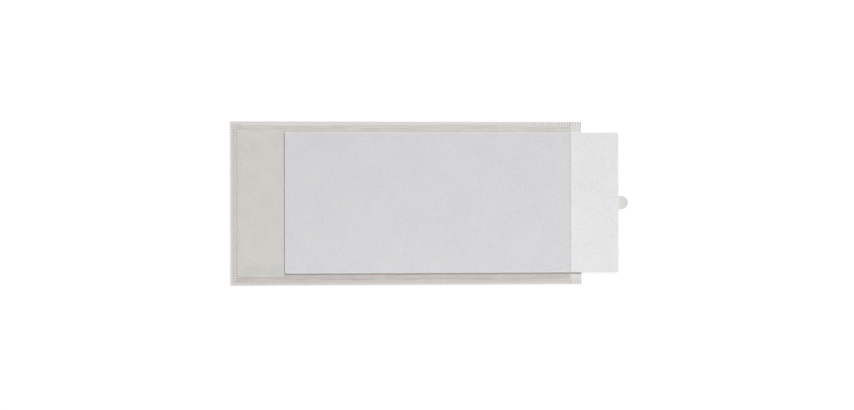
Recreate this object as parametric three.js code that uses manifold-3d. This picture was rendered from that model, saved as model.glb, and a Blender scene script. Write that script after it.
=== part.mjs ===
// A self-adhesive label holder: a clear pocket welded from two films along three sides, a paper label
// card that slides in at the open end, and a coat of adhesive that a peel-off liner keeps clean.
// Millimetres. The origin is the middle of the liner's underside. X runs along the pocket to its open
// end, Y across it, and Z up through the sheets.

import * as THREE from "three";
import { mergeVertices } from "three/addons/utils/BufferGeometryUtils.js";
import Module from "manifold-3d";

const wasm = await Module();
wasm.setup();

// Outline that the liner, the adhesive and the back film share
const pocketLength = 140;
const pocketWidth = 65;

// Thickness of each sheet
const linerThickness = 0.1;
const adhesiveThickness = 0.05;
const backFilmThickness = 0.2;
const frontFilmThickness = 0.2;
const cardThickness = 0.3;

// Open end: the front film is cut shorter, so that a finger finds the back film
const openStrip = 4.15;

// Welded seams, pressed by a ribbed bar
const sideSeamWidth = 1.7;
const endSeamWidth = 2.5;
const ribPitch = 1.07;
const grooveMouth = 0.66;
const grooveFloor = 0.26;
const grooveDepth = 0.1;

// Rise of the formed front film, from a seam up to the level over the card
const sideRise = 1.8;
const endRise = 0.8;
const riseSegments = 6;

// Room round the label card
const cardFaceClearance = 0.1;
const cardSideClearance = 1;
const cardEndClearance = 0.3;

// Label card: how far it stands pulled out of the pocket, and its place across it
const cardPulledOut = 18;
const cardSideShift = 0.2;

// Half-round pull tab, die-cut in one with the card, and how far it still stands out once the card is home
const tabWidth = 5.3;
const tabProud = 0.75;
const tabNeck = 0.55;
const tabFillet = 0.6;
const tabSegments = 12;

// How far a cutting solid runs past the surface that it cuts
const overrun = 1;

// Places along and across the pocket
const closedEnd = -pocketLength / 2;
const openEnd = pocketLength / 2;
const sideEdge = pocketWidth / 2;
const frontFilmEnd = openEnd - openStrip;
const endSeamEdge = closedEnd + endSeamWidth;
const sideSeamEdge = sideEdge - sideSeamWidth;

// Levels of the sheets, from the liner's underside up
const linerTop = linerThickness;
const adhesiveTop = linerTop + adhesiveThickness;
const backFilmTop = adhesiveTop + backFilmThickness;
const seamTop = backFilmTop + frontFilmThickness;
const cardUnderside = backFilmTop + cardFaceClearance;
const formedUnderside = cardUnderside + cardThickness + cardFaceClearance;
const formedTop = formedUnderside + frontFilmThickness;

// The card fills the formed room across the pocket, and its tab stays in reach past the open end
const tabLength = tabFillet + tabNeck + tabWidth / 2;
const cardHome = endSeamEdge + endRise + cardEndClearance;
const cardLength = openEnd + tabProud - tabLength - cardHome;
const cardWidth = 2 * (sideSeamEdge - sideRise - cardSideClearance);

const materials = {
  clearFilm: new THREE.MeshStandardMaterial({
    color: 0xe4e5e2,
    roughness: 0.12,
    metalness: 0,
    transparent: true,
    opacity: 0.3,
  }),
  backFilm: new THREE.MeshStandardMaterial({ color: 0xdedddb, roughness: 0.3, metalness: 0 }),
  adhesive: new THREE.MeshStandardMaterial({ color: 0xdcdbd0, roughness: 0.45, metalness: 0 }),
  liner: new THREE.MeshStandardMaterial({ color: 0xe9e8e0, roughness: 0.55, metalness: 0 }),
  card: new THREE.MeshStandardMaterial({ color: 0xe5e5e7, roughness: 0.85, metalness: 0 }),
};

function solidOf(geometry) {
  const bare = geometry.clone();
  bare.deleteAttribute("normal");
  bare.deleteAttribute("uv");
  const merged = mergeVertices(bare, 1e-5);
  return new wasm.Manifold(
    new wasm.Mesh({
      numProp: 3,
      vertProperties: merged.attributes.position.array,
      triVerts: new Uint32Array(merged.index.array),
    }),
  );
}

function geometryOf(solid) {
  const mesh = solid.getMesh();
  const geometry = new THREE.BufferGeometry();
  geometry.setAttribute("position", new THREE.BufferAttribute(mesh.vertProperties, 3));
  geometry.setIndex(new THREE.BufferAttribute(mesh.triVerts, 1));
  geometry.computeVertexNormals();
  return geometry;
}

function extrude(shape, depth, curveSegments) {
  return new THREE.ExtrudeGeometry(shape, { depth, curveSegments, bevelEnabled: false });
}

// A section drawn across the pocket, in Y and Z, and drawn out along X
function alongPocket(shape, from, to) {
  const geometry = extrude(shape, to - from, riseSegments);
  geometry.rotateX(Math.PI / 2).rotateZ(Math.PI / 2);
  return geometry.translate(from, 0, 0);
}

// A section drawn along the pocket, in X and Z, and drawn out along Y
function acrossPocket(shape, from, to) {
  const geometry = extrude(shape, to - from, riseSegments);
  geometry.rotateX(Math.PI / 2);
  return geometry.translate(0, to, 0);
}

// A flat sheet over the whole pocket outline, between two levels
function flatSheet(underside, top) {
  const geometry = new THREE.BoxGeometry(pocketLength, pocketWidth, top - underside);
  return geometry.translate(0, 0, (underside + top) / 2);
}

// An S-bend from the outline's last point: level at both ends, steepest in the middle
function sBend(shape, fromX, fromZ, toX, toZ) {
  const middle = (fromX + toX) / 2;
  shape.bezierCurveTo(middle, fromZ, middle, toZ, toX, toZ);
}

// Section across the pocket under one skin of the formed film. The brim is the flat part on the seam.
function sideSection(floor, foot, crest, brim) {
  const crestEdge = sideSeamEdge - sideRise;
  const shape = new THREE.Shape();
  shape.moveTo(sideSeamEdge + brim, floor);
  shape.lineTo(sideSeamEdge + brim, foot);
  if (brim > 0) shape.lineTo(sideSeamEdge, foot);
  sBend(shape, sideSeamEdge, foot, crestEdge, crest);
  shape.lineTo(-crestEdge, crest);
  sBend(shape, -crestEdge, crest, -sideSeamEdge, foot);
  if (brim > 0) shape.lineTo(-sideSeamEdge - brim, foot);
  shape.lineTo(-sideSeamEdge - brim, floor);
  return shape;
}

// The same section along the pocket: it rises at the closed end only and runs out level at the open end
function endSection(floor, foot, crest, brim, runOut) {
  const shape = new THREE.Shape();
  shape.moveTo(runOut, floor);
  shape.lineTo(runOut, crest);
  shape.lineTo(endSeamEdge + endRise, crest);
  sBend(shape, endSeamEdge + endRise, crest, endSeamEdge, foot);
  if (brim > 0) shape.lineTo(endSeamEdge - brim, foot);
  shape.lineTo(endSeamEdge - brim, floor);
  return shape;
}

// Everything under one skin of the front film: where the two sections meet, the corners mitre
function underSkin(sideShape, endShape) {
  const sides = solidOf(alongPocket(sideShape, closedEnd - overrun, openEnd + overrun));
  const end = solidOf(acrossPocket(endShape, -sideEdge - overrun, sideEdge + overrun));
  return sides.intersect(end);
}

// The bar's grooves between two places, at whole pitches from a datum, as a comb hanging over a surface
function combShape(datum, from, to, surface) {
  const first = Math.ceil((from - datum + grooveMouth / 2) / ribPitch);
  const last = Math.floor((to - datum - grooveMouth / 2) / ribPitch);
  const back = surface + overrun;
  const shape = new THREE.Shape();
  shape.moveTo(from, back);
  shape.lineTo(from, surface + overrun / 2);
  for (let groove = first; groove <= last; groove += 1) {
    const middle = datum + groove * ribPitch;
    shape.lineTo(middle - grooveMouth / 2, surface + overrun / 2);
    shape.lineTo(middle - grooveMouth / 2, surface);
    shape.lineTo(middle - grooveFloor / 2, surface - grooveDepth);
    shape.lineTo(middle + grooveFloor / 2, surface - grooveDepth);
    shape.lineTo(middle + grooveMouth / 2, surface);
    shape.lineTo(middle + grooveMouth / 2, surface + overrun / 2);
  }
  shape.lineTo(to, surface + overrun / 2);
  shape.lineTo(to, back);
  return shape;
}

// Comb over one side seam: its grooves run across the seam, one after another along X
function sideComb(side, from, to, surface) {
  const inner = side > 0 ? sideSeamEdge : -sideEdge - overrun;
  const outer = side > 0 ? sideEdge + overrun : -sideSeamEdge;
  return solidOf(acrossPocket(combShape(endSeamEdge, from, to, surface), inner, outer));
}

// Comb over the seam of the closed end: its grooves run along X, one after another from the middle
function endComb(surface) {
  const shape = combShape(0, -sideEdge, sideEdge, surface);
  return solidOf(alongPocket(shape, closedEnd - overrun, endSeamEdge));
}

function frontFilm() {
  const outer = underSkin(
    sideSection(backFilmTop, seamTop, formedTop, sideSeamWidth),
    endSection(backFilmTop, seamTop, formedTop, endSeamWidth, frontFilmEnd),
  );
  const room = underSkin(
    sideSection(backFilmTop - overrun, backFilmTop, formedUnderside, 0),
    endSection(backFilmTop - overrun, backFilmTop, formedUnderside, 0, frontFilmEnd + overrun),
  );
  let film = outer.subtract(room).subtract(endComb(seamTop));
  for (const side of [-1, 1]) {
    film = film.subtract(sideComb(side, endSeamEdge, frontFilmEnd, seamTop));
  }
  return geometryOf(film);
}

// The bar also marks the strip of back film that the front film leaves bare
function backFilm() {
  let film = solidOf(flatSheet(adhesiveTop, backFilmTop));
  for (const side of [-1, 1]) {
    film = film.subtract(sideComb(side, frontFilmEnd, openEnd, backFilmTop));
  }
  return geometryOf(film);
}

// The card lies from its own inner end along X, with the tab in the middle of its outer end
function labelCard() {
  const edge = cardWidth / 2;
  const half = tabWidth / 2;
  const shape = new THREE.Shape();
  shape.moveTo(0, -edge);
  shape.lineTo(cardLength, -edge);
  shape.lineTo(cardLength, -half - tabFillet);
  shape.absarc(cardLength + tabFillet, -half - tabFillet, tabFillet, Math.PI, Math.PI / 2, true);
  shape.absarc(cardLength + tabFillet + tabNeck, 0, half, -Math.PI / 2, Math.PI / 2, false);
  shape.absarc(cardLength + tabFillet, half + tabFillet, tabFillet, -Math.PI / 2, -Math.PI, true);
  shape.lineTo(cardLength, edge);
  shape.lineTo(0, edge);
  return extrude(shape, cardThickness, tabSegments);
}

function part(name, geometry, material) {
  const mesh = new THREE.Mesh(geometry, material);
  mesh.name = name;
  return mesh;
}

const pocket = new THREE.Group();
pocket.add(part("adhesive_layer", flatSheet(linerTop, adhesiveTop), materials.adhesive));
pocket.add(part("back_film", backFilm(), materials.backFilm));
pocket.add(part("front_film", frontFilm(), materials.clearFilm));

const card = part("label_card", labelCard(), materials.card);
card.position.set(cardHome + cardPulledOut, cardSideShift, cardUnderside);

const labelHolder = new THREE.Group();
labelHolder.add(part("release_liner", flatSheet(0, linerTop), materials.liner));
labelHolder.add(pocket, card);

export default labelHolder;
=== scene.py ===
# %% [markdown]
# # A self-adhesive label holder
# The object is a clear pocket, welded from two films along three sides, with a paper label card pushed in
# at its open end. Its back is coated with adhesive, and a peel-off liner keeps the adhesive clean. The solid
# model gives every sheet's place and size. This lesson gives those sheets their looks: the film's ripples
# and ribbed welds, the cut edges of the card, and how clear film, paper and adhesive take the light.

# %% Load the model
import math

import bpy
from mathutils import Matrix, Vector


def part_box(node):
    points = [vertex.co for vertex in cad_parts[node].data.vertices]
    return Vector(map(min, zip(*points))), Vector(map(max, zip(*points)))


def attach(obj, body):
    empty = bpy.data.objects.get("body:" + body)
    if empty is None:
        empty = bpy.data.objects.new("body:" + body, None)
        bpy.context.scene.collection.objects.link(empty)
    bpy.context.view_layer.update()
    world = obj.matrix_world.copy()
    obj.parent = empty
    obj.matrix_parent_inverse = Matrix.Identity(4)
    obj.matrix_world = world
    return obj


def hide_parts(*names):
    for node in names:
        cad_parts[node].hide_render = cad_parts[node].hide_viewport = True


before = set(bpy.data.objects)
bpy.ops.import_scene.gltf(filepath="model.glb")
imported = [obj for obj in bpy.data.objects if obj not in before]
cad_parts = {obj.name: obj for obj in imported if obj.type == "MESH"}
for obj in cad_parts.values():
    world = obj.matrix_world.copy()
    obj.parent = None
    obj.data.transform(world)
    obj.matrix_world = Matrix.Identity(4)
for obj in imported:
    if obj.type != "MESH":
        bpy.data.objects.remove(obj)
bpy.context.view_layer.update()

MM = 0.001

# %% [markdown]
# ## Reading the sheets
# Each sheet's lowest and highest corners come from the model, so that a new piece starts where the sheet
# really is. Only the sizes that a box can't tell, such as the width of a weld, are written here again.

# %% Boxes of the sheets
film_low, film_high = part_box("front_film")
backing_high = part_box("back_film")[1]
card_low, card_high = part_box("label_card")

FILM = 0.2 * MM
SIDE_SEAM = 1.7 * MM
END_SEAM = 2.5 * MM
SIDE_RISE = 1.8 * MM
END_RISE = 0.8 * MM
RIB_PITCH = 1.07 * MM
GROOVE_DEPTH = 0.1 * MM
TAB_WIDTH = 5.3 * MM
TAB_LENGTH = 3.8 * MM
TAB_FILLET = 0.6 * MM

seam_level = backing_high.z + FILM
crest_level = film_high.z
side_seam_edge = film_high.y - SIDE_SEAM
end_seam_edge = film_low.x + END_SEAM
print("front film, mm:", round((film_high.x - film_low.x) / MM, 2), "long")

# %% [markdown]
# ## Camera
# The photograph looks straight down on the holder from about 65 cm, standing a little towards the closed end,
# so the open end is drawn about one part in seventy smaller. The camera is turned by hand because a view
# straight down has no natural up direction: here up is across the pocket.

# %% Camera over the pocket
PICTURE_WIDTH = 854
FOCAL_PIXELS = 1631
SENSOR_WIDTH = 36
NEAREST_SEEN = 10 * MM
CAMERA_DISTANCE = 650 * MM
LEAN_TO_CLOSED_END = math.radians(3.75)
ROLL = math.radians(-0.098)
LOOK_AT = Vector((8.02 * MM, -0.72 * MM, 0))

camera_data = bpy.data.cameras.new("camera")
camera_data.sensor_width = SENSOR_WIDTH
camera_data.lens = FOCAL_PIXELS / PICTURE_WIDTH * SENSOR_WIDTH
camera_data.clip_start = NEAREST_SEEN
camera = bpy.data.objects.new("camera", camera_data)
bpy.context.scene.collection.objects.link(camera)
bpy.context.scene.camera = camera

backwards = Vector((-math.sin(LEAN_TO_CLOSED_END), 0, math.cos(LEAN_TO_CLOSED_END)))
rightwards = Vector((0, 1, 0)).cross(backwards).normalized()
upwards = backwards.cross(rightwards)
turn = Matrix((rightwards, upwards, backwards)).transposed()
camera.rotation_mode = "QUATERNION"
camera.rotation_quaternion = (turn @ Matrix.Rotation(ROLL, 3, "Z")).to_quaternion()
camera.location = LOOK_AT + backwards * CAMERA_DISTANCE
print("camera:", round(camera_data.lens, 1), "mm lens,", round(camera.location.z / MM), "mm above the table")

# %% [markdown]
# ## Light
# A soft lamp stands far off behind the upper right corner, some 27 degrees above the table, which is low
# enough to draw the dark line beside the card and to bring out the ribs. A panel on the near side and an even
# sky fill the rest, and the panel is kept out of reflections. Together they light a level surface about as
# brightly as its colour is written.

# %% Sky, lamp and panel
SKY_FILL = 0.18
LAMP_SIDE = 1.1
LAMP_POWER = 222
LAMP_PLACE = Vector((1.89, 3.02, 1.82))
PANEL_SIDE = 0.3
PANEL_POWER = 0.43
PANEL_PLACE = Vector((0.04, -0.24, 0.22))


def colour(red, green, blue):
    """A colour of the screen, 0 to 255, as the linear values that shaders take."""
    def linear(value):
        value /= 255
        return value / 12.92 if value <= 0.04045 else ((value + 0.055) / 1.055) ** 2.4
    return (linear(red), linear(green), linear(blue), 1)


def add_lamp(name, side, power, place):
    """A square lamp that faces the holder."""
    data = bpy.data.lights.new(name, "AREA")
    data.shape = "SQUARE"
    data.size = side
    data.energy = power
    lamp = bpy.data.objects.new(name, data)
    lamp.location = place
    lamp.rotation_euler = place.to_track_quat("Z", "Y").to_euler()
    bpy.context.scene.collection.objects.link(lamp)
    print(name, "of", power, "W,", round(place.length, 2), "m away")
    return lamp


add_lamp("soft_lamp", LAMP_SIDE, LAMP_POWER, LAMP_PLACE)
add_lamp("near_panel", PANEL_SIDE, PANEL_POWER, PANEL_PLACE).visible_glossy = False

bpy.context.scene.view_settings.view_transform = "Standard"

# %% [markdown]
# ## Writing shaders as sums
# A finish is easier to read as arithmetic than as a web of nodes. A small class wraps a node's output, so
# that adding or multiplying two of them adds the Math node that does it. The same class makes masks: wires
# that are 1 in one place and 0 elsewhere. The pieces lie in the model's own frame, so a mask is written with
# the same lengths as the shape that it follows.

# %% Wires
class Wire:
    """An output of a node that takes part in sums."""

    def __init__(self, finish, socket):
        self.finish = finish
        self.socket = socket

    def math(self, operation, first, second=0):
        return self.finish.node("ShaderNodeMath", {"operation": operation}, {0: first, 1: second})

    def __add__(self, other):
        return self.math("ADD", self, other)

    def __sub__(self, other):
        return self.math("SUBTRACT", self, other)

    def __rsub__(self, other):
        return self.math("SUBTRACT", other, self)

    def __mul__(self, other):
        return self.math("MULTIPLY", self, other)

    __radd__ = __add__
    __rmul__ = __mul__

    def larger(self, other):
        return self.math("MAXIMUM", self, other)

    def smaller(self, other):
        return self.math("MINIMUM", self, other)

    def magnitude(self):
        """The value without its sign."""
        return self.math("ABSOLUTE", self)

    def cosine(self):
        return self.math("COSINE", self)

    def step_up(self, start, end):
        """0 below the start, 1 above the end and an S-bend between."""
        return self.finish.node("ShaderNodeMapRange", {"interpolation_type": "SMOOTHSTEP"},
                                {"Value": self, "From Min": start, "From Max": end})

    def band(self, start, end, soft):
        """1 between two places and 0 beyond them, with soft borders."""
        return self.step_up(start, start + soft) * (1 - self.step_up(end - soft, end))


# %% [markdown]
# Any other node comes from one method of a second class, which takes the node's type, its settings and what
# its sockets hold. The rest are the few combinations that several finishes share. A Mix node has sockets for
# numbers, vectors and colours one after another, so the ones for colours are known by their numbers.

# %% Finishes
WHITE = (1, 1, 1, 1)
MIX_SHARE = 0
MIX_FIRST = 6
MIX_SECOND = 7
MIX_COLOUR = 2


class Finish:
    """A material or sky that is being made, with its node tree."""

    def __init__(self, name, tree=None):
        self.material = None
        if tree is None:
            self.material = bpy.data.materials.new(name)
            self.material.use_nodes = True
            tree = self.material.node_tree
        self.tree = tree
        self.tree.nodes.clear()

    def node(self, kind, settings=None, sockets=None, output=0):
        made = self.tree.nodes.new(kind)
        for name, value in (settings or {}).items():
            setattr(made, name, value)
        for key, value in (sockets or {}).items():
            if isinstance(value, Wire):
                self.tree.links.new(value.socket, made.inputs[key])
            else:
                made.inputs[key].default_value = value
        return Wire(self, made.outputs[output])

    def coordinates(self):
        """The point on the object, in metres, as three wires."""
        point = self.node("ShaderNodeTexCoord", output="Object")
        return [self.node("ShaderNodeSeparateXYZ", None, {"Vector": point}, output=axis) for axis in range(3)]

    def noise(self, size, detail=2, stretch=(1, 1, 1)):
        """Noise from 0 to 1 whose patches are about this size, in metres."""
        point = self.node("ShaderNodeTexCoord", output="Object")
        place = self.node("ShaderNodeMapping", None, {"Vector": point, "Scale": stretch})
        return self.node("ShaderNodeTexNoise", None, {"Vector": place, "Scale": 1 / size, "Detail": detail})

    def blend(self, share, first, second, how="MIX"):
        return self.node("ShaderNodeMix", {"data_type": "RGBA", "blend_type": how},
                         {MIX_SHARE: share, MIX_FIRST: first, MIX_SECOND: second}, output=MIX_COLOUR)

    def bump(self, height, distance, strength=1):
        return self.node("ShaderNodeBump", None,
                         {"Height": height, "Distance": distance, "Strength": strength})

    def clear(self, tint=WHITE):
        return self.node("ShaderNodeBsdfTransparent", None, {"Color": tint})

    def either(self, share, first, second):
        """The first shader, and the second by this share."""
        return self.node("ShaderNodeMixShader", None, {0: share, 1: first, 2: second})

    def close(self, shader):
        """Joins the shader to the output and gives the material."""
        kind = "ShaderNodeOutputMaterial" if self.material else "ShaderNodeOutputWorld"
        output = self.tree.nodes.new(kind)
        self.tree.links.new(shader.socket, output.inputs["Surface"])
        if self.material:
            print("finish", self.material.name, "of", len(self.tree.nodes), "nodes")
        return self.material


# %% [markdown]
# ## Floor and backdrop
# The photograph's ground is plain white. The sky shows as white to the camera and in reflections, and lights
# the sheets with a quieter grey. The floor is a dark matt paint under a glow that shows only where the floor
# is looked at. Together they come just above white: bright enough to stay white round the holder's edges, and
# not so bright that its faint shadow is lost.

# %% White ground
FLOOR_PAINT = 0.15
FLOOR_LIFT = 0.89
FLOOR_SIZE = 6
FLOOR_DROP = 0.02 * MM


def seen_directly(finish):
    """1 for rays that show the backdrop: from the camera, off gloss and through glass."""
    rays = [finish.node("ShaderNodeLightPath", output=name)
            for name in ("Is Camera Ray", "Is Glossy Ray", "Is Transmission Ray")]
    return (rays[0] + rays[1] + rays[2]).smaller(1)


def make_sky():
    world = bpy.data.worlds.new("sky")
    world.use_nodes = True
    bpy.context.scene.world = world
    sky = Finish("sky", world.node_tree)
    strength = SKY_FILL + (1 - SKY_FILL) * seen_directly(sky)
    sky.close(sky.node("ShaderNodeBackground", None, {"Color": WHITE, "Strength": strength}))


def make_floor():
    bpy.ops.object.select_all(action="DESELECT")
    bpy.ops.mesh.primitive_plane_add(size=FLOOR_SIZE, location=(0, 0, -FLOOR_DROP))
    floor = bpy.context.object
    floor.name = "floor"
    paint = Finish("white_floor")
    matt = paint.node("ShaderNodeBsdfDiffuse", None, {"Color": (FLOOR_PAINT,) * 3 + (1,)})
    lift = paint.node("ShaderNodeEmission", None,
                      {"Color": WHITE, "Strength": FLOOR_LIFT * seen_directly(paint)})
    both = paint.node("ShaderNodeAddShader", None, {0: matt, 1: lift})
    floor.data.materials.append(paint.close(both))


make_sky()
make_floor()

# %% [markdown]
# ## The card
# The card is one sheet of paper, die-cut with a half-round tab. By hand this is a plane whose end edge is
# split, drawn out into the tab and rounded at its corners, then raised to the paper's thickness. A flat
# outline is rounded by bevelling its corner points, which gives true arcs without drawing them. The two arcs
# of the tab stop a hair short of one another, so that their points don't fall together.

# %% Helpers for working on a mesh by hand
TOUCH = 0.001 * MM


def same_place(first, second):
    return abs(first - second) < TOUCH


def new_object(name):
    """Names the piece that was just made."""
    made = bpy.context.object
    made.name = name
    made.data.name = name
    return made


def activate(piece):
    """Selects this piece and no other."""
    bpy.ops.object.select_all(action="DESELECT")
    piece.select_set(True)
    bpy.context.view_layer.objects.active = piece


def apply_place(piece):
    """Moves a piece's place and size into its mesh, so that its object sits at the origin."""
    activate(piece)
    bpy.ops.object.transform_apply(location=True, rotation=True, scale=True)


def select_points(piece, wanted, mode="VERT"):
    """Selects the points that a test accepts, and the edges and faces between them."""
    bpy.ops.object.mode_set(mode="OBJECT")
    mesh = piece.data
    for part in (mesh.polygons, mesh.edges):
        part.foreach_set("select", [False] * len(part))
    mesh.vertices.foreach_set("select", [bool(wanted(v.co)) for v in mesh.vertices])
    bpy.ops.object.mode_set(mode="EDIT")
    bpy.ops.mesh.select_mode(type="VERT")
    bpy.ops.mesh.select_mode(type=mode)


# %% Card outline with its die-cut tab
FLAT_ANGLE = math.radians(1)
ARC_STEPS = 14
ARC_SHARE = 0.995
TAB_ROUND = ARC_SHARE * TAB_WIDTH / 2
card_end = card_high.x - TAB_LENGTH
card_middle = (card_low + card_high) / 2


def in_tab(point):
    return point.x > card_end - TOUCH and abs(point.y - card_middle.y) < TAB_WIDTH / 2 + TOUCH


def card_plane():
    """A plane as long and wide as the card without its tab."""
    place = ((card_low.x + card_end) / 2, card_middle.y, card_low.z)
    bpy.ops.object.select_all(action="DESELECT")
    bpy.ops.mesh.primitive_plane_add(size=1, location=place)
    sheet = new_object("card_sheet")
    sheet.scale = (card_end - card_low.x, card_high.y - card_low.y, 1)
    apply_place(sheet)
    return sheet


def draw_out_tab(sheet):
    """Splits the end edge beside the tab, draws its middle out and rounds the corners."""
    bpy.ops.object.mode_set(mode="EDIT")
    for side in (-1, 1):
        bpy.ops.mesh.select_all(action="SELECT")
        bpy.ops.mesh.bisect(plane_co=(0, card_middle.y + side * TAB_WIDTH / 2, 0), plane_no=(0, 1, 0))
    select_points(sheet, in_tab, "EDGE")
    bpy.ops.mesh.extrude_region_move(TRANSFORM_OT_translate={"value": (TAB_LENGTH, 0, 0)})
    bpy.ops.mesh.select_all(action="SELECT")
    bpy.ops.mesh.dissolve_limited(angle_limit=FLAT_ANGLE)
    select_points(sheet, lambda point: same_place(point.x, card_high.x))
    bpy.ops.mesh.bevel(offset=TAB_ROUND, segments=ARC_STEPS, affect="VERTICES")
    select_points(sheet, lambda point: same_place(point.x, card_end) and in_tab(point))
    bpy.ops.mesh.bevel(offset=TAB_FILLET, segments=ARC_STEPS // 2, affect="VERTICES")
    bpy.ops.object.mode_set(mode="OBJECT")


card = card_plane()
draw_out_tab(card)
print("card outline:", len(card.data.vertices), "points")

# %% [markdown]
# A die presses a cut edge a little round. The outline is raised to the paper's thickness and its edges get a
# narrow bevel. Weighted normals then keep the wide faces flat to the light, so that only the bevel shades.

# %% Thickness and pressed edge of the card
CARD_THICKNESS = card_high.z - card_low.z
CARD_EDGE_ROUND = 0.08 * MM
CARD_EDGE_STEPS = 2
CARD_EDGE_ANGLE = math.radians(60)
CARD_SMOOTH_ANGLE = math.radians(40)


def raise_card(sheet):
    bpy.ops.object.mode_set(mode="EDIT")
    bpy.ops.mesh.select_all(action="SELECT")
    bpy.ops.mesh.extrude_region_move(TRANSFORM_OT_translate={"value": (0, 0, CARD_THICKNESS)})
    bpy.ops.mesh.select_all(action="SELECT")
    bpy.ops.mesh.normals_make_consistent(inside=False)
    bpy.ops.object.mode_set(mode="OBJECT")


def press_edge(sheet):
    rounding = sheet.modifiers.new("pressed edge", "BEVEL")
    rounding.width = CARD_EDGE_ROUND
    rounding.segments = CARD_EDGE_STEPS
    rounding.limit_method = "ANGLE"
    rounding.angle_limit = CARD_EDGE_ANGLE
    bpy.ops.object.modifier_apply(modifier=rounding.name)
    bpy.ops.object.shade_smooth_by_angle(angle=CARD_SMOOTH_ANGLE)
    flat_faces = sheet.modifiers.new("flat faces stay flat", "WEIGHTED_NORMAL")
    flat_faces.keep_sharp = True
    bpy.ops.object.modifier_apply(modifier=flat_faces.name)


raise_card(card)
press_edge(card)
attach(card, "card")
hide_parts("label_card")
print("card:", len(card.data.polygons), "faces,", round(CARD_THICKNESS / MM, 2), "mm thick")

# %% [markdown]
# ## The front film, laid out as a grid
# The front film is the piece that shows most: a clear sheet that lies on the weld, rises over the card and is
# slack in between. It could be sculpted, but its ribs and its bend are regular, so a grid is made whose
# columns fall on the ribs, four to a rib, and whose rows crowd together where the film is slack. Each zone is
# a grid of its own spacing, and the zones are joined and merged into one skin.

# %% Helpers for grids
MERGE = 0.01 * MM


def add_grid(span_x, columns, span_y, rows):
    """A level grid between two places along X and two along Y."""
    centre = (sum(span_x) / 2, sum(span_y) / 2, seam_level)
    bpy.ops.object.select_all(action="DESELECT")
    bpy.ops.mesh.primitive_grid_add(x_subdivisions=columns, y_subdivisions=rows, size=1, location=centre)
    grid = bpy.context.object
    grid.scale = (span_x[1] - span_x[0], span_y[1] - span_y[0], 1)
    apply_place(grid)
    return grid


def join(pieces, name):
    """Makes one piece of several and merges the points that they share."""
    activate(pieces[0])
    for piece in pieces:
        piece.select_set(True)
    bpy.ops.object.join()
    joined = new_object(name)
    bpy.ops.object.mode_set(mode="EDIT")
    bpy.ops.mesh.select_all(action="SELECT")
    bpy.ops.mesh.remove_doubles(threshold=MERGE)
    bpy.ops.object.mode_set(mode="OBJECT")
    return joined


def cut_off(piece, place, outwards):
    """Cuts off what lies beyond a plane that faces outwards."""
    activate(piece)
    bpy.ops.object.mode_set(mode="EDIT")
    bpy.ops.mesh.select_all(action="SELECT")
    bpy.ops.mesh.bisect(plane_co=place, plane_no=outwards, clear_outer=True, threshold=TOUCH)
    bpy.ops.object.mode_set(mode="OBJECT")


# %% Zones across the pocket and along it
COLUMN = RIB_PITCH / 4
FIRST_RIB = RIB_PITCH * 3 / 8
FOLD_WIDTH = 0.1 * MM
FOLD_COLUMNS = 2
BEAD_START = 1 * MM
BEAD_END = 1.68 * MM
SLACK_WIDTH = 4.2 * MM
RIM_ROWS = 3
BEAD_ROWS = 4
SLACK_ROWS = 24
FIELD_ROWS = 14


def zones_across():
    """Spans and rows from one rim to the other: rim, bead, seam edge and slack twice, and the field."""
    rim = film_high.y
    field_edge = side_seam_edge - SLACK_WIDTH
    half = [(rim, rim - BEAD_START, RIM_ROWS), (rim - BEAD_START, rim - BEAD_END, BEAD_ROWS),
            (rim - BEAD_END, side_seam_edge, 1), (side_seam_edge, field_edge, SLACK_ROWS)]
    far = [(inner, outer, rows) for outer, inner, rows in half]
    near_half = [(-outer, -inner, rows) for outer, inner, rows in half]
    return far + near_half + [(-field_edge, field_edge, FIELD_ROWS)]


def zones_along():
    """Spans and columns from the end seam's fold to just past the open end."""
    first = end_seam_edge + FIRST_RIB
    columns = math.ceil((film_high.x - first) / COLUMN)
    return [(end_seam_edge + FOLD_WIDTH, first, FOLD_COLUMNS), (first, first + columns * COLUMN, columns)]


def add_panel():
    """The skin from the end seam to the open end."""
    zones = [add_grid((x0, x1), columns, (y0, y1), rows)
             for x0, x1, columns in zones_along() for y0, y1, rows in zones_across()]
    panel = join(zones, "film_panel")
    cut_off(panel, (film_high.x, 0, 0), (1, 0, 0))
    return panel


panel = add_panel()
print("panel:", len(panel.data.polygons), "faces")

# %% [markdown]
# The welded strip across the closed end has ribs that run the other way, so it is a grid of its own, four
# rows to a rib. Its rows don't meet the panel's, so a bridge closes the tenth of a millimetre between them,
# right where the film folds.

# %% Strip across the closed end
END_SEAM_COLUMNS = 8


def add_end_seam():
    rows = 2 * math.ceil(film_high.y / COLUMN) + 1
    span_y = (-rows / 2 * COLUMN, rows / 2 * COLUMN)
    strip = add_grid((film_low.x, end_seam_edge), END_SEAM_COLUMNS, span_y, rows)
    for side in (-1, 1):
        cut_off(strip, (0, side * film_high.y, 0), (0, side, 0))
    return strip


def at_fold(point):
    return same_place(point.x, end_seam_edge) or same_place(point.x, end_seam_edge + FOLD_WIDTH)


skin = join([panel, add_end_seam()], "front_film_skin")
select_points(skin, at_fold, "EDGE")
bpy.ops.mesh.bridge_edge_loops()
bpy.ops.object.mode_set(mode="OBJECT")
print("skin:", len(skin.data.polygons), "faces")

# %% [markdown]
# ## Rise and bite
# The film's upper skin is level on the weld and level over the card, with an S-bend between. The ribs are
# pressed grooves that run square to the seam. They are not even: the bar bites hard at the open end of the
# far side and towards both corners of the closed end, less in the middle of that end and in the first
# stretch of the near side, and hardly marks the rest. Across the closed end it lay a little askew, so the
# ribs start at the very edge on one side and inside it on the other.

# %% Rise over the card
def step_up(value, start, end):
    """The same S-bend from 0 to 1 as a wire's, for a number."""
    share = max(0.0, min(1.0, (value - start) / (end - start)))
    return share * share * (3 - 2 * share)


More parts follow.
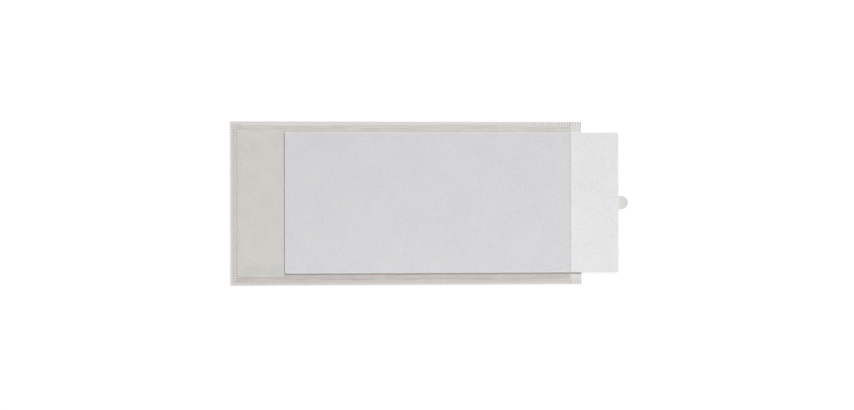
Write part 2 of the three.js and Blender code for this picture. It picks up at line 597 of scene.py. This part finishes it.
def rise(point):
    across = (side_seam_edge - abs(point.y)) / SIDE_RISE
    along = (point.x - end_seam_edge) / END_RISE
    return (crest_level - seam_level) * step_up(min(across, along), 0, 1)


print("rise over the card, mm:", round((crest_level - seam_level) / MM, 2))

# %% Bite of the bar, from 0 to 1
NEAR_BITE = 0.5
FAINT_RIB = 0.12
FAR_BITE_PLACES = (0.74, 0.95)
NEAR_BITE_PLACES = (0.16, 0.28)
END_FAINT = 0.5
END_BITE_PLACES = (0.5, 1)
END_RIB_LENGTH = 1.5 * MM
BAR_ASKEW = 0.7 * MM
RIB_RUN_OUT = 0.3 * MM
side_seam_length = film_high.x - end_seam_edge


def side_bite(point):
    """Along a side seam, where the places are shares of its length."""
    along = (point.x - end_seam_edge) / side_seam_length
    if point.y > 0:
        return step_up(along, *FAR_BITE_PLACES)
    return NEAR_BITE * (1 - step_up(along, *NEAR_BITE_PLACES))


def end_bite(point):
    """Across the closed end, where it is fainter in the middle and the ribs begin and end with the bar."""
    off_middle = abs(point.y) / film_high.y
    start = BAR_ASKEW * (0.5 - point.y / (2 * film_high.y))
    inwards = point.x - film_low.x - start
    run_in = step_up(inwards, -RIB_RUN_OUT, 0)
    run_out = 1 - step_up(inwards, END_RIB_LENGTH, END_RIB_LENGTH + RIB_RUN_OUT)
    return (END_FAINT + (1 - END_FAINT) * step_up(off_middle, *END_BITE_PLACES)) * run_in * run_out


print("bite at the far open corner:", round(side_bite(film_high), 2))

# %% [markdown]
# ## Ribs, bead and crease
# Where the bar bites little, a low bead of squeezed-out film runs along the seam. In one corner, where no
# card holds the film level, a single long crease has sunk into it. All of these are heights over the same
# grid, so one pass over its points sets them.

# %% Grooves of the ribs
GROOVE_WIDTH = 0.5


def groove(point):
    """Depth of the pressed grooves, each half a pitch wide."""
    if point.x < end_seam_edge - FOLD_WIDTH:
        phase = point.y / RIB_PITCH
        bite = end_bite(point)
    elif abs(point.y) > side_seam_edge + MERGE and point.x > end_seam_edge + FOLD_WIDTH:
        phase = (point.x - end_seam_edge) / RIB_PITCH
        bite = FAINT_RIB + (1 - FAINT_RIB) * side_bite(point)
    else:
        return 0.0
    in_floor = abs(phase - round(phase)) < GROOVE_WIDTH / 2
    return GROOVE_DEPTH * bite if in_floor else 0.0


# %% Bead and crease
BEAD_HEIGHT = 0.05 * MM
NEAR_BEAD = 0.3
CREASE_PLACE = (-57 * MM, -28.85 * MM)
CREASE_LENGTH = 5 * MM
CREASE_WIDTH = 0.45 * MM
CREASE_DEPTH = 0.15 * MM


def bead(point):
    """Height of the round bead along the side seams."""
    inwards = film_high.y - abs(point.y)
    off_top = abs(inwards - (BEAD_START + BEAD_END) / 2) / ((BEAD_END - BEAD_START) / 2)
    if off_top >= 1 or point.x < end_seam_edge:
        return 0.0
    share = 1 if point.y > 0 else NEAR_BEAD
    return share * BEAD_HEIGHT * (1 - side_bite(point)) * math.cos(off_top * math.pi / 2)


def crease(point):
    """Depth of the crease, which runs out softly on all sides."""
    along = (point.x - CREASE_PLACE[0]) / CREASE_LENGTH
    across = (point.y - CREASE_PLACE[1]) / CREASE_WIDTH
    return CREASE_DEPTH * math.exp(-along * along - across * across)


# %% Heights of the skin
for vertex in skin.data.vertices:
    here = vertex.co
    vertex.co.z = seam_level + rise(here) - groove(here) + bead(here) - crease(here)
heights = [vertex.co.z / MM for vertex in skin.data.vertices]
print("skin, mm:", round(min(heights), 3), "to", round(max(heights), 3), "high")

# %% [markdown]
# ## Ripples
# Between the weld and the card the film is slack and lies in long shallow ripples along the pocket. A
# Displace modifier with a cloud texture makes them: an empty stretches the clouds, some thirty-five times
# longer than they are wide, and a vertex group keeps the modifier off the seams and off the film over the
# card. The middle grey is set high, so that most of the slack film sags and only the crests stay up.

# %% Slack film
RIPPLE_LENGTH = 26 * MM
RIPPLE_WIDTH = 0.75 * MM
RIPPLE_HEIGHT = 0.42 * MM
RIPPLE_SAG = 0.78
SLACK_RISE = (0.3 * MM, 0.7 * MM)
SLACK_FADE = (1.7 * MM, 2.5 * MM)
SLACK_RUN_IN = 2 * MM
slack_start = end_seam_edge + END_RISE


def slack(point):
    """How free the film is to ripple, from 0 to 1, by its distance from the side seam."""
    off = side_seam_edge - abs(point.y)
    run_in = step_up(point.x, slack_start, slack_start + SLACK_RUN_IN)
    return step_up(off, *SLACK_RISE) * (1 - step_up(off, *SLACK_FADE)) * run_in


def mark_slack(piece):
    """A vertex group that holds the slack film."""
    group = piece.vertex_groups.new(name="slack")
    for vertex in piece.data.vertices:
        weight = slack(vertex.co)
        if weight > 0:
            group.add([vertex.index], weight, "REPLACE")
    return group


def ripple(piece):
    bpy.ops.object.empty_add(location=(0, 0, 0))
    grain = bpy.context.object
    grain.scale = (RIPPLE_LENGTH, RIPPLE_WIDTH, RIPPLE_WIDTH)
    clouds = bpy.data.textures.new("ripples", "CLOUDS")
    clouds.noise_scale = 1
    clouds.noise_depth = 1
    push = piece.modifiers.new("ripples", "DISPLACE")
    push.texture = clouds
    push.texture_coords = "OBJECT"
    push.texture_coords_object = grain
    push.vertex_group = mark_slack(piece).name
    push.direction = "Z"
    push.mid_level = RIPPLE_SAG
    push.strength = RIPPLE_HEIGHT
    activate(piece)
    bpy.ops.object.modifier_apply(modifier=push.name)
    bpy.data.objects.remove(grain)
    piece.vertex_groups.clear()


ripple(skin)
moved = [abs(vertex.co.z / MM - height) for vertex, height in zip(skin.data.vertices, heights)]
print("deepest ripple, mm:", round(max(moved), 3))

# %% [markdown]
# ## Thickness
# Solidify gives the skin its 0.2 mm and closes its rim. On the weld the underside must not follow the ribs,
# because it is fused flat onto the back film, so the points that came out below are pushed up level. They
# stop a hundredth of a millimetre short of the back film: of two faces in the very same place a ray finds
# only one.

# %% Film from skin
WELD_GAP = 0.01 * MM
FILM_SMOOTH_ANGLE = math.radians(50)


def thicken(piece):
    wall = piece.modifiers.new("thickness", "SOLIDIFY")
    wall.thickness = FILM
    wall.offset = -1
    bpy.ops.object.modifier_apply(modifier=wall.name)
    for vertex in piece.data.vertices:
        vertex.co.x = max(vertex.co.x, film_low.x)
        vertex.co.y = max(film_low.y, min(vertex.co.y, film_high.y))
        vertex.co.z = max(vertex.co.z, backing_high.z + WELD_GAP)
    bpy.ops.object.shade_smooth_by_angle(angle=FILM_SMOOTH_ANGLE)


thicken(skin)
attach(skin, "pocket")
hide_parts("front_film")
print("film:", len(skin.data.polygons), "faces")

# %% [markdown]
# ## Where the film changes
# The film's finish changes where it is fused, folded, slack or beside the card. Each of these places is a
# mask, written with the lengths that the shape was made with. The masks that several parts of the finish
# read are worked out once, in a small class.

# %% Places on the film
EDGE = 0.02 * MM
END_MILKY = 1.9 * MM
SIDES_MEET = 1 * MM
FAR_CORNER = 2.2 * MM


class FilmPlaces:
    """Wires that tell where on the front film a point lies."""

    def __init__(self, film):
        self.x, self.y, self.z = film.coordinates()
        self.inwards = film_high.y - self.y.magnitude()
        self.from_end = self.x - film_low.x
        self.along = (self.from_end - END_SEAM) * (1 / side_seam_length)
        self.near_side = self.y.step_up(SIDES_MEET, -SIDES_MEET)
        self.far_side = 1 - self.near_side
        self.on_end = 1 - self.from_end.step_up(END_MILKY - EDGE, END_MILKY)
        beside_rim = 1 - self.inwards.step_up(FAR_CORNER - EDGE, FAR_CORNER)
        self.far_corner = self.far_side * self.on_end * beside_rim
        on_side = 1 - self.inwards.step_up(SIDE_SEAM - EDGE, SIDE_SEAM)
        self.pressed = on_side.larger(self.on_end)

    def by_side(self, far, near):
        """One value on the far half of the pocket and another on the near half."""
        return far + self.near_side * (near - far)


# %% [markdown]
# ## Clear film
# Film this thin bends no light that one could see, so it needs no glass: a Transparent shader lets the card
# show through, and a Glossy one lays the room's reflection on it, mixed by how far the film is turned away.
# Along the slack bands and at the fold of the closed end the film's tint is darkened as painted shade, and
# beside the card and along the near seam as painted shadow lines. In the slack the painted shade lies in
# streaks along the pocket, but on the near side it is even where no card lies below.

# %% Painted shade of the slack film and the fold
SLACK_BAND = (SIDE_SEAM - 0.1 * MM, SIDE_SEAM + 2.2 * MM)
FOLD_BAND = (END_SEAM - 1.3 * MM, END_SEAM + 0.7 * MM)
BAND_SOFT = 0.4 * MM
FOLD_SHADE = 0.5
STREAK_WIDTH = 0.5 * MM
STREAK_STRETCH = (0.06, 1, 1)
STREAK_LEVELS = (0.35, 0.62)
NO_CARD_SHADE = 0.7
NO_CARD_FADE = 3 * MM


def painted_slack_and_fold_shade(film, places):
    """How much painted shade the film takes, from 0 to 1, in streaks on the slack and at the fold."""
    streaks = film.noise(STREAK_WIDTH, stretch=STREAK_STRETCH).step_up(*STREAK_LEVELS)
    no_card = places.near_side * (1 - places.x.step_up(card_low.x - NO_CARD_FADE, card_low.x))
    streaks = streaks + no_card * (NO_CARD_SHADE - streaks)
    in_slack = places.inwards.band(*SLACK_BAND, BAND_SOFT)
    on_fold = places.from_end.band(*FOLD_BAND, BAND_SOFT)
    return (in_slack * streaks).larger(FOLD_SHADE * on_fold)


# %% Painted shadow lines beside the card and along the near seam
FAR_LINE_WIDTH = 0.5 * MM
NEAR_LINE_WIDTH = 2 * MM
FAR_LINE_FADE = 0.1 * MM
NEAR_LINE_FADE = 1.2 * MM
NEAR_LINE_START = 0.2 * MM
FOLD_LINE_WIDTH = 0.4 * MM
FOLD_LINE_SOFT = 0.1 * MM


def painted_shadow_lines(places):
    """Painted shadow lines beside both long edges of the card, softer and wider on the near side, and along
    the near seam.
    """
    off_card = (places.y - card_high.y).larger(card_low.y - places.y)
    start = NEAR_LINE_START * places.near_side
    width = places.by_side(FAR_LINE_WIDTH, NEAR_LINE_WIDTH)
    fade = places.by_side(FAR_LINE_FADE, NEAR_LINE_FADE)
    beside_card = (off_card.step_up(start, 2 * start + EDGE)
                   * places.x.step_up(card_low.x - FAR_LINE_WIDTH, card_low.x)
                   * (1 - off_card.step_up(width - fade, width)))
    at_fold_line = places.inwards.band(SIDE_SEAM, SIDE_SEAM + FOLD_LINE_WIDTH, FOLD_LINE_SOFT)
    return beside_card.larger(places.near_side * at_fold_line)


# %% Painted shade in the corner round the crease, and a painted highlight along the crease
CORNER_SHADE_BAND = (3.1 * MM, 9 * MM)
CORNER_SOFT = 2 * MM
CORNER_REACH = 2 * CREASE_LENGTH
CREASE_REACH = 1.2 * CREASE_LENGTH
CREASE_SPREAD = 0.7 * CREASE_WIDTH


def in_corner(places):
    middle = CREASE_PLACE[0]
    along = places.x.band(middle - CORNER_REACH, middle + CORNER_REACH, CREASE_LENGTH)
    return places.near_side * places.inwards.band(*CORNER_SHADE_BAND, CORNER_SOFT) * along


def on_crease(places):
    x, y = CREASE_PLACE
    along = places.x.band(x - CREASE_REACH, x + CREASE_REACH, CREASE_LENGTH / 2)
    return along * places.y.band(y - CREASE_SPREAD, y + CREASE_SPREAD, CREASE_WIDTH / 2)


# %% [markdown]
# Each state of the film is a Transparent shader of its own, with one tint all over, and masks mix one state
# after another into the chain. A mix of plain shaders stays simple to bake, which a tint that varies does
# not. The painted shadow of the cut edge at the open end comes last, since it crosses all the others.

# %% Tints of the clear film
FILM_TINT = (0.974, 0.972, 0.974, 1)
# Painted shade in the corner round the crease.
CORNER_SHADE_TINT = (0.956, 0.956, 0.958, 1)
# Painted shade of the slack bands and the fold, on the far and the near side.
FAR_SLACK_SHADE = (0.935, 0.926, 0.93, 1)
NEAR_SLACK_SHADE = (0.942, 0.913, 0.925, 1)
# Painted shadow lines beside the card and along the near seam, far and near.
FAR_SHADOW_LINE = (0.925, 0.92, 0.918, 1)
NEAR_SHADOW_LINE = (0.93, 0.908, 0.908, 1)
# A painted highlight along the crease, where the film is made clearer.
CREASE_HIGHLIGHT = 0.8
# Painted shadow of the cut edge, in the film along the open end.
CUT_EDGE_SHADOW = (0.945, 0.945, 0.945, 1)
CUT_EDGE_WIDTH = 0.6 * MM
CUT_EDGE_SOFT = 0.05 * MM
FILM_MIRROR = 0.045
FILM_GLOSS = 0.16


def mirror(film, straight_on):
    """Share of light that the film reflects from both of its sides: little straight on, all at a graze."""
    turned_away = film.node("ShaderNodeLayerWeight", None, {"Blend": 0.5}, output="Facing")
    square = turned_away * turned_away
    return straight_on + (1 - straight_on) * (square * square * turned_away)


def clear_film(film, places):
    def by_side(far_tint, near_tint):
        return film.either(places.near_side, film.clear(far_tint), film.clear(near_tint))

    cut_start = film_high.x - CUT_EDGE_WIDTH
    at_cut_shadow = places.x.step_up(cut_start, cut_start + CUT_EDGE_SOFT)
    through = film.either(in_corner(places), film.clear(FILM_TINT), film.clear(CORNER_SHADE_TINT))
    through = film.either(painted_slack_and_fold_shade(film, places), through, by_side(FAR_SLACK_SHADE, NEAR_SLACK_SHADE))
    through = film.either(CREASE_HIGHLIGHT * on_crease(places), through, film.clear())
    through = film.either(painted_shadow_lines(places), through, by_side(FAR_SHADOW_LINE, NEAR_SHADOW_LINE))
    through = film.either(places.pressed, through, film.clear())
    through = film.either(at_cut_shadow, through, film.clear(CUT_EDGE_SHADOW))
    gloss = film.node("ShaderNodeBsdfGlossy", None, {"Color": WHITE, "Roughness": FILM_GLOSS})
    return film.either(mirror(film, FILM_MIRROR), through, gloss)


# %% [markdown]
# ## Milky weld
# Where the bar pressed the films together the face between them has gone milky, while the film above it is
# still clear. So the milk belongs to the film's underside, which is flat there, and the ribs and the bead
# that one sees in it are a bump of the same pitch as the grooves above. The ribs are deepest at the rim and
# fade inwards. Patches of noise along the near seam let them come out in some places, and in the far corner
# of the closed end the bar left none. The far bead carries a painted highlight, and its foot painted shade.

# %% Ribs and bead of the fused face
SIDE_RELIEF = 1.05
SIDE_RIB_FADE = (0.7 * MM, 2.3 * MM)
END_RIB_FADE = (0.9 * MM, 3 * MM)
BITE_PATCH = 9 * MM
PATCH_LEVELS = (0.46, 0.58)
PATCH_BITE = 0.57


def side_bite_wire(film, places):
    """How hard the bar has bitten along the side seams."""
    far_bite = FAINT_RIB + (1 - FAINT_RIB) * places.along.step_up(*FAR_BITE_PLACES)
    near_bite = FAINT_RIB + NEAR_BITE * (1 - places.along.step_up(*NEAR_BITE_PLACES))
    patches = film.noise(BITE_PATCH, detail=1, stretch=(1, 0, 0)).step_up(*PATCH_LEVELS)
    return places.by_side(far_bite, near_bite.larger(PATCH_BITE * patches))


def ribs(place):
    """A wave from -1 to 1 that has the pitch of the ribs."""
    return (place * (2 * math.pi / RIB_PITCH)).cosine()


def weld_relief(film, places):
    """Height of the fused face, where 1 is the full depth of a groove."""
    bite = side_bite_wire(film, places)
    off_middle = places.y.magnitude() * (1 / film_high.y)
    bite_on_end = END_FAINT + (1 - END_FAINT) * off_middle.step_up(*END_BITE_PLACES)
    side_fade = 1 - places.inwards.step_up(*SIDE_RIB_FADE)
    end_fade = 1 - places.from_end.step_up(*END_RIB_FADE)
    side_ribs = SIDE_RELIEF * bite * side_fade * ribs(places.x - end_seam_edge) * (1 - places.on_end)
    end_ribs = bite_on_end * end_fade * ribs(places.y) * (places.on_end - places.far_corner)
    top = (BEAD_START + BEAD_END) / 2
    hump = places.inwards.step_up(BEAD_START, top) * (1 - places.inwards.step_up(top, BEAD_END))
    squeezed_out = hump * (1 - bite) * (1 - places.on_end) * (BEAD_HEIGHT / GROOVE_DEPTH)
    return squeezed_out - 0.5 * (side_ribs + end_ribs)


# %% Painted highlight and shade of the far bead
# Painted highlight on the far bead, and painted shade at its foot.
BEAD_HIGHLIGHT = colour(252, 250, 247)
BEAD_HIGHLIGHT_BAND = (0.98 * MM, 1.44 * MM)
BEAD_FOOT_SHADE = colour(210, 209, 207)
BEAD_FOOT_SHADE_BAND = (0.58 * MM, 0.98 * MM)
BEAD_BAND_SOFT = 0.05 * MM
BEAD_TONE_START = (3.5 * MM, 7 * MM)
BEAD_TONE_FADE = (0.1, 0.75)


def bead_highlight_and_shade(film, places, tone):
    """A painted highlight on the far bead and painted shade at its foot, both fading out towards the open
    end.
    """
    starts = places.from_end.step_up(*BEAD_TONE_START)
    fades = 1 - places.along.step_up(*BEAD_TONE_FADE)
    shows = places.far_side * starts * fades
    tone = film.blend(shows * places.inwards.band(*BEAD_FOOT_SHADE_BAND, BEAD_BAND_SOFT), tone, BEAD_FOOT_SHADE)
    return film.blend(shows * places.inwards.band(*BEAD_HIGHLIGHT_BAND, BEAD_BAND_SOFT), tone, BEAD_HIGHLIGHT)


# %% Milk between the films
FAR_WELD = colour(221, 220, 218)
NEAR_WELD = colour(218, 215, 213)
END_WELD = colour(223, 218, 216)
INNER_WELD = (0.3 * MM, 1.7 * MM)
INNER_WELD_SHADE = (0.87, 0.85, 0.85, 1)
FAR_INNER_SHARE = 0.2
LIGHT_RIM = colour(233, 231, 228)
LIGHT_RIM_WIDTH = 0.5 * MM
LIGHT_RIM_SOFT = 0.1 * MM
WELD_ROUGHNESS = 0.4


def weld_tone(film, places):
    """A tone for each seam, darker inwards, with a light rim at the far edge and the closed end."""
    inner = places.inwards.smaller(places.from_end).step_up(*INNER_WELD)
    darkens = places.near_side.larger(places.on_end - places.far_corner).larger(FAR_INNER_SHARE)
    from_rim = (film_high.y - places.y).smaller(places.from_end)
    at_rim = 1 - from_rim.step_up(LIGHT_RIM_WIDTH - LIGHT_RIM_SOFT, LIGHT_RIM_WIDTH)
    tone = film.blend(places.on_end, film.blend(places.near_side, FAR_WELD, NEAR_WELD), END_WELD)
    tone = film.blend(inner * darkens, tone, INNER_WELD_SHADE, "MULTIPLY")
    return film.blend(at_rim, bead_highlight_and_shade(film, places, tone), LIGHT_RIM)


def milk(film, places):
    return film.node("ShaderNodeBsdfPrincipled", None, {
        "Base Color": weld_tone(film, places), "Roughness": WELD_ROUGHNESS,
        "Normal": film.bump(weld_relief(film, places), GROOVE_DEPTH)})


# %% [markdown]
# Both faces of the film carry the same finish, which tells them apart by height: only the fused face lies as
# low as the back film. It is nearly solid on the welds and clear everywhere else.

# %% Finish of the front film
WELD_HAZE = 0.9
FUSED_TOP = (backing_high.z + 2 * WELD_GAP, backing_high.z + 4 * WELD_GAP)


def film_finish():
    film = Finish("clear_film")
    places = FilmPlaces(film)
    upper = clear_film(film, places)
    lower = film.either(WELD_HAZE * places.pressed, film.clear(), milk(film, places))
    fused = 1 - places.z.step_up(*FUSED_TOP)
    return film.close(film.either(fused, upper, lower))


skin.data.materials.append(film_finish())

# %% [markdown]
# ## Paper
# Card is matt and faintly mottled, with fibres a few tenths of a millimetre long. Below the film its rim
# looks a little lighter, and the tab is greyer towards its tip: painted shade of a bend that the flat tab
# doesn't have. Mottle and fibre are two noises of different size, each with a weight of its own.

# %% Finish of the card
CARD_WHITE = colour(229, 229, 230)
CARD_SHADE = colour(219, 219, 221)
CARD_BORDER = colour(236, 236, 237)
# Painted shade on the tab, deeper towards its tip.
TAB_ROOT_SHADE = colour(217, 217, 214)
TAB_TIP_SHADE = colour(208, 208, 205)
BORDER_WIDTH = 0.4 * MM
BORDER_SOFT = 0.08 * MM
TAB_SOFT = 0.3 * MM
CARD_MOTTLE = 14 * MM
CARD_MOTTLE_WEIGHT = 0.9
CARD_FIBRE = 0.6 * MM
CARD_FIBRE_STRETCH = (0.6, 1, 1)
CARD_FIBRE_WEIGHT = 2.4
CARD_RELIEF = 0.02 * MM
CARD_RELIEF_STRENGTH = 0.6
CARD_ROUGHNESS = 0.85
CARD_SPECULAR = 0.25


def uneven(*layers):
    """A share about one half, from noises and their weights."""
    share = 0.5
    for weight, layer in layers:
        share = share + weight * (layer - 0.5)
    return share


def card_tone(paper, x, y, fibre):
    mottle = paper.noise(CARD_MOTTLE)
    cloud = uneven((CARD_MOTTLE_WEIGHT, mottle), (CARD_FIBRE_WEIGHT, fibre))
    on_tab = x.step_up(card_end, card_end + TAB_SOFT)
    from_edge = (card_high.y - y).smaller(y - card_low.y).smaller(x - card_low.x)
    below_film = 1 - x.step_up(film_high.x - EDGE, film_high.x)
    on_border = below_film * (1 - from_edge.step_up(BORDER_WIDTH - BORDER_SOFT, BORDER_WIDTH))
    tone = paper.blend(cloud, CARD_WHITE, CARD_SHADE)
    tone = paper.blend(on_border, tone, CARD_BORDER)
    return paper.blend(on_tab, tone, paper.blend(x.step_up(card_end, card_high.x), TAB_ROOT_SHADE, TAB_TIP_SHADE))


def card_finish():
    paper = Finish("card_paper")
    x, y, _ = paper.coordinates()
    fibre = paper.noise(CARD_FIBRE, stretch=CARD_FIBRE_STRETCH)
    return paper.close(paper.node("ShaderNodeBsdfPrincipled", None, {
        "Base Color": card_tone(paper, x, y, fibre), "Roughness": CARD_ROUGHNESS,
        "Specular IOR Level": CARD_SPECULAR,
        "Normal": paper.bump(fibre, CARD_RELIEF, CARD_RELIEF_STRENGTH)}))


card.data.materials.append(card_finish())

# %% [markdown]
# ## Backing
# Behind the card lie three sheets seen through one another: back film, adhesive and liner. Film and adhesive
# are hazy, so each is a matt surface that lets a part of the light through to the next. The strip of back
# film that the front film leaves bare is a little darker, more so on the near side.

# %% Finish of the back film
BACKING_TINT = colour(239, 238, 232)
BACKING_SHADE = colour(228, 227, 220)
BACKING_CLOUD = 6 * MM
BACKING_CLOUD_WEIGHT = 1.2
BACKING_GRAIN = 0.7 * MM
BACKING_GRAIN_WEIGHT = 1.9
BACKING_ROUGHNESS = 0.3
BACKING_HAZE = 0.86
FAR_STRIP_SHADE = (0.975, 0.97, 0.99, 1)
NEAR_STRIP_SHADE = (0.95, 0.935, 0.97, 1)
STRIP_FADE = (25 * MM, -25 * MM)


def backing_finish():
    film = Finish("backing_film")
    x, y, _ = film.coordinates()
    cloud = uneven((BACKING_CLOUD_WEIGHT, film.noise(BACKING_CLOUD)),
                   (BACKING_GRAIN_WEIGHT, film.noise(BACKING_GRAIN)))
    tone = film.blend(cloud, BACKING_TINT, BACKING_SHADE)
    strip_shade = film.blend(y.step_up(*STRIP_FADE), FAR_STRIP_SHADE, NEAR_STRIP_SHADE)
    on_strip = x.step_up(film_high.x - EDGE, film_high.x)
    tone = film.blend(on_strip, tone, strip_shade, "MULTIPLY")
    surface = film.node("ShaderNodeBsdfPrincipled", None,
                        {"Base Color": tone, "Roughness": BACKING_ROUGHNESS})
    return film.close(film.either(BACKING_HAZE, film.clear(), surface))


# %% Finish of the adhesive
ADHESIVE_TINT = colour(236, 235, 228)
ADHESIVE_SHADE = colour(230, 229, 220)
ADHESIVE_BLOTCH = 4 * MM
ADHESIVE_RELIEF = 0.02 * MM
ADHESIVE_ROUGHNESS = 0.35
ADHESIVE_HAZE = 0.85
FINE_DETAIL = 4
SOFT_RELIEF = 0.5


def adhesive_finish():
    coat = Finish("adhesive_coat")
    blotch = coat.noise(ADHESIVE_BLOTCH, detail=FINE_DETAIL)
    surface = coat.node("ShaderNodeBsdfPrincipled", None, {
        "Base Color": coat.blend(blotch, ADHESIVE_TINT, ADHESIVE_SHADE), "Roughness": ADHESIVE_ROUGHNESS,
        "Normal": coat.bump(blotch, ADHESIVE_RELIEF, SOFT_RELIEF)})
    return coat.close(coat.either(ADHESIVE_HAZE, coat.clear(), surface))


# %% Finish of the liner
LINER_WHITE = colour(233, 232, 227)
LINER_SHADE = colour(228, 227, 221)
LINER_MOTTLE = 5 * MM
LINER_MOTTLE_SHARE = 0.7
LINER_FIBRE = 0.3 * MM
LINER_FIBRE_STRETCH = (0.4, 1, 1)
LINER_FIBRE_SHARE = 0.3
LINER_RELIEF = 0.005 * MM
LINER_ROUGHNESS = 0.42


def liner_finish():
    paper = Finish("siliconised_liner")
    mottle = paper.noise(LINER_MOTTLE, detail=FINE_DETAIL)
    fibre = paper.noise(LINER_FIBRE, stretch=LINER_FIBRE_STRETCH)
    cloud = LINER_MOTTLE_SHARE * mottle + LINER_FIBRE_SHARE * fibre
    return paper.close(paper.node("ShaderNodeBsdfPrincipled", None, {
        "Base Color": paper.blend(cloud, LINER_WHITE, LINER_SHADE), "Roughness": LINER_ROUGHNESS,
        "Normal": paper.bump(fibre, LINER_RELIEF, SOFT_RELIEF)}))


# %% Finishes put on the sheets
def dress(node, material):
    """Gives a sheet of the model its finish."""
    sheet = bpy.data.objects[node]
    sheet.data.materials.clear()
    sheet.data.materials.append(material)


dress("back_film", backing_finish())
dress("adhesive_layer", adhesive_finish())
dress("release_liner", liner_finish())
